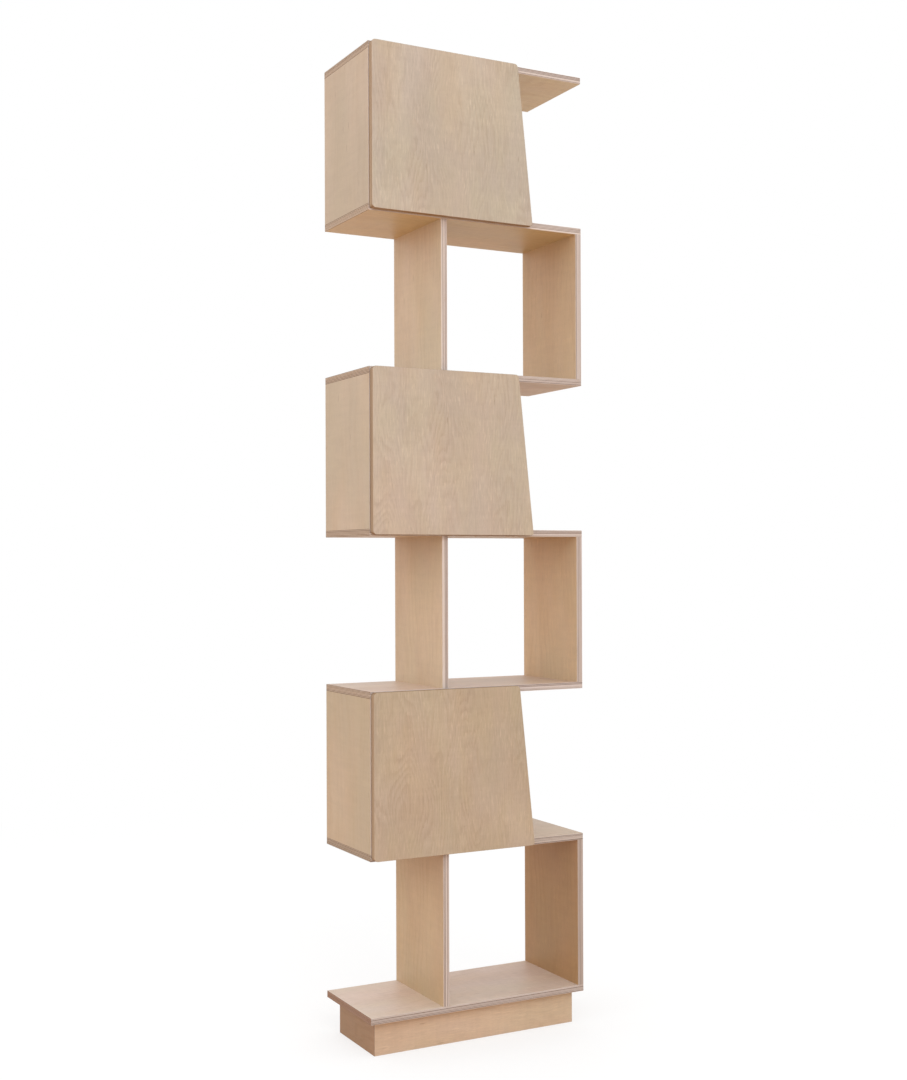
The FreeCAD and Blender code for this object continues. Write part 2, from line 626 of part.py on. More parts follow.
def make_cup():
    """Cup in the door's bore, with a well for the link and a flange with two screw holes."""
    cup = new_body("hinge_cup_master")
    gap = "Sizes.door_gap"
    disc = new_sketch(cup, "XZ_Plane", gap)
    draw_circle(disc, CUP_CENTRE, "0", "Sizes.cup_diameter / 2")
    pad(cup, disc, "Sizes.cup_depth")
    rim = new_sketch(cup, "XZ_Plane", gap)
    draw_circle(rim, CUP_CENTRE, "0", "Sizes.cup_diameter / 2 + Sizes.cup_rim")
    pad(cup, rim, "Sizes.cup_flange_thickness", backwards=True)
    flange = new_sketch(cup, "XZ_Plane", gap)
    half_width = "Sizes.cup_flange_width / 2"
    draw_middle_rectangle(flange, CUP_CENTRE, "0", half_width, "Sizes.cup_flange_height / 2")
    pad(cup, flange, "Sizes.cup_flange_thickness", backwards=True)
    top = "Sizes.door_gap - Sizes.cup_flange_thickness"
    well = new_sketch(cup, "XZ_Plane", top)
    draw_middle_rectangle(well, CUP_CENTRE, "0", WELL_HALF_WIDTH, "Sizes.cup_well_height / 2")
    depth = "Sizes.cup_flange_thickness + Sizes.cup_depth - Sizes.cup_floor"
    pocket(cup, well, depth, along_normal=True)
    screws = [(CUP_CENTRE, z) for z in either_side("0", "Sizes.cup_screw_spacing")]
    bore(cup, "XZ_Plane", top, screws, SCREW_HOLE_RADIUS, "Sizes.cup_flange_thickness", True)
    pin = new_sketch(cup, "XY_Plane")
    draw_circle(pin, *CUP_PIVOT, PIN_HOLE)
    pocket(cup, pin, "Sizes.cup_pin_length + 2 * Sizes.pin_fixed_fit", midplane=True)
    return cup


def make_link():
    """Cranked link with a pivot eye at each end; its bend clears the door's edge when open."""
    link = new_body("hinge_link_master")
    for pivot in (CUP_PIVOT, ARM_PIVOT):
        bar = new_sketch(link, "XY_Plane")
        draw_bar(bar, pivot, LINK_BEND, "Sizes.link_half_thickness")
        pad(link, bar, "Sizes.link_height", midplane=True)
        eye = new_sketch(link, "XY_Plane")
        draw_circle(eye, *pivot, "Sizes.pivot_eye_radius")
        pad(link, eye, "Sizes.link_height", midplane=True)
    bend = new_sketch(link, "XY_Plane")
    draw_circle(bend, *LINK_BEND, "Sizes.link_half_thickness")
    pad(link, bend, "Sizes.link_height", midplane=True)
    holes = new_sketch(link, "XY_Plane")
    for pivot in (CUP_PIVOT, ARM_PIVOT):
        draw_circle(holes, *pivot, "Sizes.pin_radius + Sizes.pin_running_fit")
    pocket(link, holes, f"Sizes.link_height + {OVERSHOOT}", midplane=True)
    return link


def make_arm():
    """Channel-shaped arm that carries the link's pivot and lies on the mounting plate."""
    arm = new_body("hinge_arm_master")
    side = new_sketch(arm, "XY_Plane")
    draw_rectangle(side, "Sizes.arm_standoff", "Sizes.arm_pivot_y", ARM_TOP, "Sizes.arm_end")
    pad(arm, side, "Sizes.arm_width", midplane=True)
    nose = new_sketch(arm, "XY_Plane")
    draw_circle(nose, *ARM_PIVOT, "Sizes.pivot_eye_radius")
    pad(arm, nose, "Sizes.arm_width", midplane=True)
    channel = new_sketch(arm, "XY_Plane")
    front = f"Sizes.arm_pivot_y - Sizes.pivot_eye_radius - {OVERSHOOT}"
    back = f"Sizes.arm_end + {OVERSHOOT}"
    draw_polygon(channel, (
        ("0", front),
        (f"{ARM_TOP} + {OVERSHOOT}", front),
        (f"{ARM_TOP} + {OVERSHOOT}", back),
        (ARM_WEB_TOP, back),
        (ARM_WEB_TOP, "Sizes.arm_web_front"),
        ("0", "Sizes.arm_web_front"),
    ))
    pocket(arm, channel, "Sizes.arm_width - 2 * Sizes.arm_wall", midplane=True)
    pin = new_sketch(arm, "XY_Plane")
    draw_circle(pin, *ARM_PIVOT, PIN_HOLE)
    pocket(arm, pin, f"Sizes.arm_width + {OVERSHOOT}", midplane=True)
    screws = [(y, "0") for y in ARM_SCREWS_Y]
    hole = "Sizes.arm_screw_radius + Sizes.screw_clearance"
    bore(arm, "YZ_Plane", ARM_WEB_TOP, screws, hole, "Sizes.arm_wall")
    return arm


def make_plate():
    """Mounting plate: two wings screwed to the panel and a ridge that the arm lies on."""
    plate = new_body("hinge_plate_master")
    wings = new_sketch(plate, "YZ_Plane")
    half = "Sizes.plate_wing_height / 2"
    draw_rectangle(wings, "Sizes.plate_wing_front", f"-{half}", "Sizes.plate_wing_back", half)
    pad(plate, wings, "Sizes.plate_thickness")
    ridge = new_sketch(plate, "YZ_Plane")
    half = "Sizes.arm_width / 2"
    draw_rectangle(ridge, "Sizes.plate_ridge_front", f"-{half}", "Sizes.plate_ridge_back", half)
    pad(plate, ridge, RIDGE_TOP)
    top = "Sizes.plate_thickness"
    screws = [("Sizes.plate_screw_y", z) for z in either_side("0", "Sizes.plate_screw_spacing")]
    holes = bore(plate, "YZ_Plane", top, screws, SCREW_HOLE_RADIUS, f"{top} + {OVERSHOOT}")
    sink = "Sizes.wood_screw_head_radius - Sizes.wood_screw_radius - Sizes.screw_clearance"
    sink_rims(plate, holes, TO_RIGHT, number_of(top), sink)
    taps = [(y, "0") for y in ARM_SCREWS_Y]
    hole = "Sizes.arm_screw_radius + Sizes.screw_clearance"
    bore(plate, "YZ_Plane", RIDGE_TOP, taps, hole, "Sizes.arm_screw_bore")
    return plate


def make_pin(label, pivot, length):
    """Round pin along Z through a pivot."""
    pin = new_body(label)
    section = new_sketch(pin, "XY_Plane")
    draw_circle(section, *pivot, "Sizes.pin_radius")
    pad(pin, section, length, midplane=True)
    return pin


def turn_profile(label, outline):
    """Solid turned about Z from an outline in the XZ plane."""
    body = new_body(label)
    profile = new_sketch(body, "XZ_Plane")
    draw_polygon(profile, outline)
    turned = body.newObject("PartDesign::Revolution", label + "_turned")
    turned.Profile = profile
    turned.ReferenceAxis = (profile, ["V_Axis"])
    turned.Angle = 360
    return body


def cut_cross_recess(screw, top):
    """Cross recess for a driver in the top of a screw head."""
    half_length = "Sizes.screw_recess_length / 2"
    half_width = "Sizes.screw_recess_width / 2"
    for across, along in ((half_length, half_width), (half_width, half_length)):
        slot = new_sketch(screw, "XY_Plane", top)
        draw_middle_rectangle(slot, "0", "0", across, along)
        pocket(screw, slot, "Sizes.screw_recess_depth")


def make_flat_screw(label, length):
    """Countersunk wood screw; Z = 0 is the top of its head."""
    shank = "Sizes.wood_screw_radius"
    head = "Sizes.wood_screw_head_radius - Sizes.screw_clearance"
    cone = f"({head} - {shank})"
    screw = turn_profile(label, (
        ("0", "0"),
        (head, "0"),
        (shank, f"-{cone}"),
        (shank, f"-({length} - 2 * {shank})"),
        ("0", f"-({length})"),
    ))
    cut_cross_recess(screw, "0")
    return screw


def make_round_screw(label, shank, head, head_height, length, tip):
    """Screw with a domed head; Z = 0 is the head's underside and tip is the point's length."""
    screw = turn_profile(label, (
        ("0", head_height),
        (f"{head} / 2", head_height),
        (head, f"{head_height} / 2"),
        (head, "0"),
        (shank, "0"),
        (shank, f"-({length} - {tip})"),
        (f"{shank} / 2", f"-{length}"),
        ("0", f"-{length}"),
    ))
    cut_cross_recess(screw, head_height)
    return screw


def make_dowel():
    """Dowel along +Z from Z = 0, with chamfered ends."""
    radius = "Sizes.dowel_diameter / 2"
    chamfer = "Sizes.dowel_chamfer"
    length = "Sizes.dowel_length"
    return turn_profile("dowel_master", (
        ("0", "0"),
        (f"{radius} - {chamfer}", "0"),
        (radius, chamfer),
        (radius, f"{length} - {chamfer}"),
        (f"{radius} - {chamfer}", length),
        ("0", length),
    ))


def make_tongue():
    """Loose tongue that stands on Z = 0, with its width along X."""
    tongue = new_body("tongue_master")
    section = new_sketch(tongue, "XY_Plane")
    draw_middle_rectangle(section, "0", "0", "Sizes.tongue_width / 2", "Sizes.tongue_thickness / 2")
    pad(tongue, section, "Sizes.plinth_height - 2 * Sizes.tongue_end_gap")
    return tongue


def make_bumper():
    """Flat rubber dot with a chamfered rim, glued on by its face at Z = 0."""
    radius = "Sizes.bumper_radius"
    height = "Sizes.bumper_thickness"
    return turn_profile("bumper_master", (
        ("0", "0"),
        (radius, "0"),
        (radius, f"{height} / 2"),
        (f"{radius} - {height} / 2", height),
        ("0", height),
    ))


CUP_SCREW_X = f"({THICKNESS} + {CUP_CENTRE})"
CUP_SCREW_Y = "(Sizes.cup_flange_thickness - Sizes.door_gap)"
PLATE_SCREW_X = f"({THICKNESS} + Sizes.plate_thickness)"
ARM_SCREW_X = f"({THICKNESS} + {ARM_WEB_TOP})"
BUMPER_X = f"({INNER_UPRIGHT_X} + {THICKNESS} / 2)"
CLEAT_BOTTOM = "(Sizes.plinth_height - Sizes.cleat_size)"


def heights_in(levels, heights):
    """Heights above the floor of what repeats at the same heights in several levels."""
    return [f"({level_floor(level)} + {height})" for level in levels for height in heights]


def at_hinges(label, master, levels):
    """One copy of a hinge piece for each hinge of some levels."""
    places = heights_in(levels, HINGE_HEIGHTS)
    return group(label, [copy_of(master, THICKNESS, "0", z) for z in places])


def make_cup_screws(label, master, level):
    heights = heights_in((level,), HINGE_HEIGHTS)
    places = [z for height in heights for z in either_side(height, "Sizes.cup_screw_spacing")]
    return group(label, [copy_of(master, CUP_SCREW_X, CUP_SCREW_Y, z, TOP_TO_BACK) for z in places])


def make_plate_screws(label, master):
    heights = heights_in(CLOSED_LEVELS, HINGE_HEIGHTS)
    places = [z for height in heights for z in either_side(height, "Sizes.plate_screw_spacing")]
    y = "Sizes.plate_screw_y"
    return group(label, [copy_of(master, PLATE_SCREW_X, y, z, TOP_TO_RIGHT) for z in places])


def make_arm_screws(label, master):
    places = [(y, z) for z in heights_in(CLOSED_LEVELS, HINGE_HEIGHTS) for y in ARM_SCREWS_Y]
    return group(label, [copy_of(master, ARM_SCREW_X, y, z, TOP_TO_RIGHT) for y, z in places])


def make_bumpers(label, master):
    places = heights_in(CLOSED_LEVELS, BUMPER_HEIGHTS)
    return group(label, [copy_of(master, BUMPER_X, "0", z, TOP_TO_FRONT) for z in places])


def make_shelf_dowels(label, master):
    """Two dowels in each end of each upright."""
    copies = []
    for level in OPEN_LEVELS + CLOSED_LEVELS:
        lower_end = f"{level_floor(level)} - {DOWEL_IN_FACE}"
        upper_end = f"{shelf_bottom(level + 1)} + {DOWEL_IN_FACE} - Sizes.dowel_length"
        for x, y in dowel_places(level):
            copies.append(copy_of(master, x, y, lower_end))
            copies.append(copy_of(master, x, y, upper_end))
    return group(label, copies)


def make_plinth_tongues(label, master):
    """One loose tongue across each mitre of the plinth."""
    copies = []
    for corner in (FRONT_LEFT, FRONT_RIGHT, BACK_LEFT, BACK_RIGHT):
        x, y = inside_corner(corner, TONGUE_PLACE, TONGUE_PLACE)
        (_, x_sign), (_, y_sign) = corner
        turn = RIGHT_TO_FRONT_RIGHT if x_sign == y_sign else RIGHT_TO_BACK_RIGHT
        place_x, place_y = f"{PLINTH_LEFT} + {x}", f"{PLINTH_FRONT_Y} + {y}"
        copies.append(copy_of(master, place_x, place_y, "Sizes.tongue_end_gap", turn))
    return group(label, copies)


def make_cleat_screws(label, master):
    return group(label, [copy_of(master, x, y, CLEAT_BOTTOM, TOP_DOWN) for x, y in CLEAT_SCREW_PLACES])


# Assembly

parts = []

for number in range(1, SHELF_COUNT + 1):
    parts.append(make_shelf(number))

for bay, level in enumerate(OPEN_LEVELS, start=1):
    parts.append(make_upright(f"centre_upright_{bay}", level, CENTRE_UPRIGHT_X))
    parts.append(make_upright(f"right_upright_{bay}", level, RIGHT_UPRIGHT_X))

for box, level in enumerate(CLOSED_LEVELS, start=1):
    parts.append(make_left_panel(box, level))
    parts.append(make_inner_upright(box, level))
    parts.append(make_back(box, level))
    parts.append(make_door(box, level))

parts.append(make_plinth_board("plinth_front", (FRONT_LEFT, FRONT_RIGHT), TO_RIGHT))
parts.append(make_plinth_board("plinth_back", (BACK_LEFT, BACK_RIGHT), TO_RIGHT))
parts.append(make_plinth_board("plinth_left", (FRONT_LEFT, BACK_LEFT), TO_BACK))
parts.append(make_plinth_board("plinth_right", (FRONT_RIGHT, BACK_RIGHT), TO_BACK))
parts.append(make_cleat("plinth_cleat_front", CLEAT_FRONT_Y))
parts.append(make_cleat("plinth_cleat_back", CLEAT_BACK_Y))

cup_master = make_cup()
link_master = make_link()
arm_master = make_arm()
plate_master = make_plate()
cup_pin_master = make_pin("hinge_cup_pin_master", CUP_PIVOT, "Sizes.cup_pin_length")
arm_pin_master = make_pin("hinge_arm_pin_master", ARM_PIVOT, "Sizes.arm_width")
plate_screw_master = make_flat_screw("plate_screw_master", "Sizes.plate_screw_length")
cleat_screw_master = make_flat_screw("cleat_screw_master", CLEAT_SCREW_LENGTH)
cup_screw_master = make_round_screw(
    "cup_screw_master", "Sizes.wood_screw_radius", "Sizes.wood_screw_head_radius",
    "Sizes.cup_screw_head_height", "Sizes.cup_screw_length", "Sizes.wood_screw_radius",
)
arm_screw_master = make_round_screw(
    "arm_screw_master", "Sizes.arm_screw_radius", "Sizes.arm_screw_head_radius",
    "Sizes.arm_screw_head_height", "Sizes.arm_screw_length", "Sizes.arm_screw_tip",
)
dowel_master = make_dowel()
tongue_master = make_tongue()
bumper_master = make_bumper()

for box, level in enumerate(CLOSED_LEVELS, start=1):
    for name, master in (
        ("hinge_cups", cup_master),
        ("hinge_links", link_master),
        ("hinge_arms", arm_master),
        ("hinge_plates", plate_master),
        ("cup_pins", cup_pin_master),
    ):
        parts.append(at_hinges(f"door_{box}_{name}", master, (level,)))
    parts.append(make_cup_screws(f"door_{box}_cup_screws", cup_screw_master, level))

parts.append(at_hinges("hinge_arm_pins", arm_pin_master, CLOSED_LEVELS))
parts.append(make_plate_screws("hinge_plate_screws", plate_screw_master))
parts.append(make_arm_screws("hinge_arm_screws", arm_screw_master))
parts.append(make_bumpers("door_bumpers", bumper_master))
parts.append(make_shelf_dowels("shelf_dowels", dowel_master))
parts.append(make_plinth_tongues("plinth_tongues", tongue_master))
parts.append(make_cleat_screws("cleat_screws", cleat_screw_master))

# Checks, then one STEP file for each sub-part

doc.recompute()

for item in doc.Objects:
    if "Invalid" in item.State or "Error" in item.State:
        raise RuntimeError(f"{item.Label} failed: {item.State}")
    if item.TypeId == "PartDesign::Pocket":
        if item.Shape.Volume > item.BaseFeature.Shape.Volume - LEAST_CUT:
            raise RuntimeError(f"{item.Label} cuts nothing")
for part in parts:
    if part.Shape.isNull() or not part.Shape.isValid():
        raise RuntimeError(f"{part.Label} has no valid shape")

os.makedirs("parts", exist_ok=True)
for part in parts:
    part.Shape.exportStep(f"parts/{part.Label}.step")
    print(f"{part.Label}: {len(part.Shape.Solids)} solids, {part.Shape.Volume / 1000:.2f} cm3")
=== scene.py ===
"""Spine bookshelf of birch plywood: materials, light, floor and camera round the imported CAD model."""

import math
from collections import namedtuple

import bpy
from mathutils import Matrix, Vector


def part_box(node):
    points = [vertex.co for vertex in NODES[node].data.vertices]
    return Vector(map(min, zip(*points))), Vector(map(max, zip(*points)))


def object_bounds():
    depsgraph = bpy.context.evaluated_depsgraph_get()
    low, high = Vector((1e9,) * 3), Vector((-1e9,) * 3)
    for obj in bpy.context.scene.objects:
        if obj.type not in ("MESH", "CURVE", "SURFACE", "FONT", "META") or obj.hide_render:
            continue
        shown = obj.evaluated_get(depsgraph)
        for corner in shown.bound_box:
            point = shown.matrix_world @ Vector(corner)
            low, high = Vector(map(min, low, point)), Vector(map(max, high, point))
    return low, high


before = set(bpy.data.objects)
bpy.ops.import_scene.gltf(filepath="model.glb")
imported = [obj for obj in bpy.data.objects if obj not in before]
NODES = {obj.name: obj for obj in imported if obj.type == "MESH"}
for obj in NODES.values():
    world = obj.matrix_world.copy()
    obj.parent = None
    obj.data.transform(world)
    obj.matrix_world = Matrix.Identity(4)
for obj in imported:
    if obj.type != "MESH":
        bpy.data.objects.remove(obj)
cad_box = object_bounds()

SCENE = bpy.context.scene
BOX_LOW, BOX_HIGH = (Vector(corner) for corner in cad_box)
X, Y, Z = 0, 1, 2

# Shelf boards and, for each kind of upright, panel and door, its three pieces, from below.
SHELF_NUMBERS = range(1, 8)
NUMBERS = range(1, 4)


# Shader nodes

VECTOR, VALUE, COLOUR = "NodeSocketVector", "NodeSocketFloat", "NodeSocketColor"

# The Mix node holds sockets for several kinds of value; these are its numbers for factor, first,
# second and result.
MIX_COLOUR_SOCKETS, MIXED_COLOUR = (0, 6, 7), 2
MIX_VALUE_SOCKETS, MIXED_VALUE = (0, 2, 3), 0

# A range is what Graph.ramp takes after its value: low, high and, where they aren't 0 and 1, the
# results at low and high.

# A layer of noise: its features per metre along each axis, the noise's detail and roughness, how
# far it is moved, and the range that it is spread over.
Layer = namedtuple("Layer", "per_metre detail roughness moved spread smooth",
                   defaults=(2.0, 0.5, None, None, True))


def srgb(red, green, blue):
    """Linear colour, with alpha, of an sRGB colour given as three numbers up to 255."""
    linear = []
    for value in (red, green, blue):
        part = value / 255
        linear.append(part / 12.92 if part <= 0.04045 else ((part + 0.055) / 1.055) ** 2.4)
    return (*linear, 1.0)


class Graph:
    """Short calls that add and link the nodes of one tree. An input is a number, colour or socket."""

    def __init__(self, tree):
        self.tree = tree

    def put(self, socket, value):
        if isinstance(value, bpy.types.NodeSocket):
            self.tree.links.new(value, socket)
        else:
            socket.default_value = value

    def node(self, kind, inputs=(), **settings):
        made = self.tree.nodes.new(kind)
        for name, value in settings.items():
            setattr(made, name, value)
        for name, value in dict(inputs).items():
            self.put(made.inputs[name], value)
        return made

    def calc(self, operation, *values):
        made = self.node("ShaderNodeMath", operation=operation)
        for socket, value in zip(made.inputs, values):
            self.put(socket, value)
        return made.outputs[0]

    def vector_calc(self, operation, *values):
        made = self.node("ShaderNodeVectorMath", operation=operation)
        sockets = [made.inputs[0], made.inputs["Scale"]] if operation == "SCALE" else made.inputs
        for socket, value in zip(sockets, values):
            self.put(socket, value)
        return made.outputs[0]

    def length(self, vector):
        return self.node("ShaderNodeVectorMath", {0: vector}, operation="LENGTH").outputs["Value"]

    def split(self, vector):
        return self.node("ShaderNodeSeparateXYZ", {"Vector": vector}).outputs

    def join(self, x, y, z):
        return self.node("ShaderNodeCombineXYZ", {"X": x, "Y": y, "Z": z}).outputs[0]

    def ramp(self, value, low, high, to_low=0.0, to_high=1.0, smooth=True):
        """Value taken from one range to another and held at its ends."""
        kind = "SMOOTHSTEP" if smooth else "LINEAR"
        names = ("Value", "From Min", "From Max", "To Min", "To Max")
        inputs = dict(zip(names, (value, low, high, to_low, to_high)))
        return self.node("ShaderNodeMapRange", inputs, interpolation_type=kind).outputs["Result"]

    def noise(self, vector, layer):
        """A layer's noise, from 0 to 1 with its middle at a half, or spread over its range."""
        if layer.moved:
            vector = self.vector_calc("ADD", vector, layer.moved)
        vector = self.vector_calc("MULTIPLY", vector, layer.per_metre)
        values = {"Vector": vector, "Scale": 1.0, "Detail": layer.detail, "Roughness": layer.roughness}
        value = self.node("ShaderNodeTexNoise", values).outputs["Fac"]
        return self.ramp(value, *layer.spread, smooth=layer.smooth) if layer.spread else value

    def wander(self, vector, layer):
        """A layer's noise with its middle at zero."""
        return self.calc("SUBTRACT", self.noise(vector, layer), 0.5)

    def mix(self, factor, first, second, kind="MIX"):
        """Colour between two, or one blended over the other."""
        made = self.node("ShaderNodeMix", data_type="RGBA", blend_type=kind)
        for number, value in zip(MIX_COLOUR_SOCKETS, (factor, first, second)):
            self.put(made.inputs[number], value)
        return made.outputs[MIXED_COLOUR]

    def mix_value(self, factor, first, second):
        made = self.node("ShaderNodeMix")
        for number, value in zip(MIX_VALUE_SOCKETS, (factor, first, second)):
            self.put(made.inputs[number], value)
        return made.outputs[MIXED_VALUE]

    def tinted(self, colour, tint):
        return self.mix(1.0, colour, tint, "MULTIPLY")

    def shaded(self, colour, factor):
        """Colour times one number."""
        return self.tinted(colour, self.join(factor, factor, factor))


def new_group(name, inputs, outputs):
    """Empty node group; inputs and outputs are pairs of a name and a socket kind."""
    tree = bpy.data.node_groups.new(name, "ShaderNodeTree")
    for label, kind in inputs:
        tree.interface.new_socket(label, in_out="INPUT", socket_type=kind)
    for label, kind in outputs:
        tree.interface.new_socket(label, in_out="OUTPUT", socket_type=kind)
    graph = Graph(tree)
    given = tree.nodes.new("NodeGroupInput").outputs
    results = tree.nodes.new("NodeGroupOutput").inputs
    return graph, given, results


def new_material(name):
    """Material with only a Principled shader, and the calls to fill it."""
    material = bpy.data.materials.new(name)
    material.use_nodes = True
    graph = Graph(material.node_tree)
    return material, graph, material.node_tree.nodes["Principled BSDF"].inputs


def add_bump(graph, shader, height, distance, strength):
    bump = graph.node("ShaderNodeBump", {"Height": height, "Distance": distance, "Strength": strength})
    graph.put(shader["Normal"], bump.outputs["Normal"])


# Birch veneer. A board's own axes are X along the grain of its faces, Y across it, Z through its
# thickness from its middle, in metres. A face's noise doesn't change through the thickness.

FACE_PALE = srgb(206, 184, 158)
FACE_WARM = srgb(200, 175, 146)
FACE_GREY = srgb(193, 175, 148)
FACE_LATE = srgb(168, 140, 110)
PORE = srgb(132, 102, 76)
PITH_FLECK = srgb(128, 92, 62)
SUNNY = (1.018, 1.024, 0.990, 1.0)
MAUVE = (0.978, 0.966, 0.990, 1.0)

# Colour and relief
MOTTLE = Layer((3.0, 9.0, 0.0), 3.0, 0.55, spread=(0.34, 0.66))
GREY_CLOUDS = Layer((2.2, 5.0, 0.0), moved=(3.1, 1.7, 0.0), spread=(0.36, 0.66, 0.0, 0.8))
HUE_CLOUDS = Layer((4.5, 10.0, 0.0), 3.0, 0.6, moved=(5.3, 2.9, 0.0), spread=(0.36, 0.64))
FIBRES = Layer((45.0, 1500.0, 0.0), 3.0, 0.6)
PORES = Layer((120.0, 2100.0, 0.0), 1.0, 0.4, spread=(0.60, 0.74))
LATE_SHARE, PORE_SHARE, FLECK_SHARE = 0.26, 0.22, 0.35
FIBRE_RELIEF, LATE_RELIEF, PORE_RELIEF = 0.6, 0.3, 0.5

# Growth rings, and the part of each that is late wood
RING_SWELL = Layer((2.2, 7.0, 0.0))
RING_FRAY = Layer((17.0, 330.0, 0.0), 3.0, 0.6)
RING_PATCHES = Layer((5.0, 13.0, 0.0), spread=(0.36, 0.62))
RINGS_PER_METRE = 48.0
FRAY_DEPTH = 1.3
LATE_WOOD = (0.30, 1.0)

# Tone of the grain, and how far the grain bends, in metres for a flame of 1
GRAIN_BEND = Layer((8.0, 15.0, 0.0))
BEND_DEPTH = 0.0008
STREAKS = Layer((28.0, 290.0, 0.0), 4.0, 0.66, spread=(0.25, 0.75, -0.5, 0.5), smooth=False)
STREAK_DEPTH = 0.1955
STROKES = Layer((42.0, 380.0, 0.0), 1.0, spread=(0.56, 0.70))
STROKE_PATCHES = Layer((11.0, 19.0, 0.0), spread=(0.42, 0.56))
STROKE_DEPTH = 0.1265
FIBRE_TONE = (0.25, 0.75, -0.035, 0.035)
SHIMMER = Layer((75.0, 13.0, 0.0), 3.0, 0.55, spread=(0.3, 0.7, 0.972, 1.028), smooth=False)

# Flecks: cells per metre, the range of a cell's random number that gives it one, and its edge
FLECK_CELLS = (22.0, 150.0, 0.0)
FLECKED_CELLS = (0.95, 0.98)
FLECK_EDGE = (0.24, 0.10)


def growth_rings(graph, place, flame):
    """Late wood of rings cut by the peeling knife: level lines of a slow noise, long along the
    grain, with edges that run out into fibres."""
    across = graph.split(place)[1]
    evenly = graph.calc("MULTIPLY", across, RINGS_PER_METRE)
    rings = graph.calc("MULTIPLY_ADD", graph.noise(place, RING_SWELL), flame, evenly)
    ring = graph.calc("MULTIPLY_ADD", graph.noise(place, RING_FRAY), FRAY_DEPTH, rings)
    late = graph.ramp(graph.calc("FRACT", ring), *LATE_WOOD)
    return graph.calc("MULTIPLY", late, graph.noise(place, RING_PATCHES))


def grain_tone(graph, place, fibres, flame, contrast):
    """Brightness of a face, round 1: streaks and strokes along the grain, fibres and shimmer."""
    # The grain bends to and fro, most of all where the figure is flamed.
    along, across = graph.split(place)[0:2]
    depth = graph.calc("MULTIPLY", flame, BEND_DEPTH)
    bend = graph.calc("MULTIPLY", graph.wander(place, GRAIN_BEND), depth)
    curved = graph.join(along, graph.calc("ADD", across, bend), 0.0)
    strokes = graph.calc("MULTIPLY", graph.noise(curved, STROKES), graph.noise(place, STROKE_PATCHES))
    streaks = graph.calc("MULTIPLY", graph.noise(curved, STREAKS), STREAK_DEPTH)
    tone = graph.calc("MULTIPLY_ADD", strokes, STROKE_DEPTH, streaks)
    tone = graph.calc("MULTIPLY_ADD", tone, contrast, graph.noise(place, SHIMMER))
    return graph.calc("ADD", tone, graph.ramp(fibres, *FIBRE_TONE, smooth=False))


def pith_flecks(graph, place):
    """Short brown dashes along the grain, in a few cells only."""
    cells = graph.node("ShaderNodeTexVoronoi", {
        "Vector": graph.vector_calc("MULTIPLY", place, FLECK_CELLS),
        "Scale": 1.0,
    }).outputs
    rare = graph.ramp(graph.split(cells["Color"])[0], *FLECKED_CELLS)
    return graph.calc("MULTIPLY", graph.ramp(cells["Distance"], *FLECK_EDGE), rare)


def make_veneer_group():
    """Colour and height of a sanded birch face: growth figure, mottle, fibres, pores and flecks."""
    graph, given, results = new_group(
        "birch_veneer",
        (("Place", VECTOR), ("Flame", VALUE), ("Contrast", VALUE)),
        (("Colour", COLOUR), ("Height", VALUE)),
    )
    place, flame, contrast = given["Place"], given["Flame"], given["Contrast"]
    late = growth_rings(graph, place, flame)
    fibres = graph.noise(place, FIBRES)
    pores = graph.noise(place, PORES)
    flecks = pith_flecks(graph, place)

    colour = graph.mix(graph.noise(place, MOTTLE), FACE_PALE, FACE_WARM)
    colour = graph.mix(graph.noise(place, GREY_CLOUDS), colour, FACE_GREY)
    late_share = graph.calc("MULTIPLY", late, graph.calc("MULTIPLY", contrast, LATE_SHARE))
    colour = graph.mix(late_share, colour, FACE_LATE)
    colour = graph.shaded(colour, grain_tone(graph, place, fibres, flame, contrast))
    clouded = graph.tinted(colour, graph.mix(graph.noise(place, HUE_CLOUDS), SUNNY, MAUVE))
    colour = graph.mix(contrast, colour, clouded)
    colour = graph.mix(graph.calc("MULTIPLY", pores, PORE_SHARE), colour, PORE)
    colour = graph.mix(graph.calc("MULTIPLY", flecks, FLECK_SHARE), colour, PITH_FLECK)

    height = graph.calc("MULTIPLY_ADD", fibres, FIBRE_RELIEF, graph.calc("MULTIPLY", late, LATE_RELIEF))
    height = graph.calc("SUBTRACT", height, graph.calc("MULTIPLY", pores, PORE_RELIEF))
    graph.put(results["Colour"], colour)
    graph.put(results["Height"], height)
    return graph.tree


# Plywood: veneer on its faces, and plies with crossing grain and dark glue wherever it is cut.
# How a surface faces is measured along the board's own axes, from 0 to 1.

GLUE = srgb(126, 96, 78)
PLY_LONG = srgb(216, 207, 203)
PLY_END = srgb(130, 109, 101)
DOOR_PLY_LONG = srgb(170, 144, 117)
DOOR_PLY_END = srgb(142, 116, 90)

# How far the plies wander, in metres, and how near to their border the glue shows, in plies
PLY_WANDER = Layer((7.0, 7.0, 7.0))
WANDER_DEPTH = 0.0005
SEAM = (0.45, 0.5)
GLUE_SHARE = 0.55

# End grain, which shows more in some plies than in others
PLY_DRIFT = Layer((4.0, 4.0, 4.0))
PLY_STRENGTH = (0.6, 1.4)
PLY_TONE = (0.0, 1.0, 1.08, 0.89)
WEAKEST_CROSSED, WEAKEST_ALONG = 0.05, 0.75
END_SPECKS = Layer((1700.0, 1700.0, 1700.0), 2.0, 0.7)
SPECK_SHARE = (0.35, 0.7, 0.0, 0.4)
LONG_DASHES = Layer((60.0, 60.0, 2600.0), 2.0, 0.6, spread=(0.35, 0.7, 0.0, 0.35))
SPECK_RELIEF = 0.8

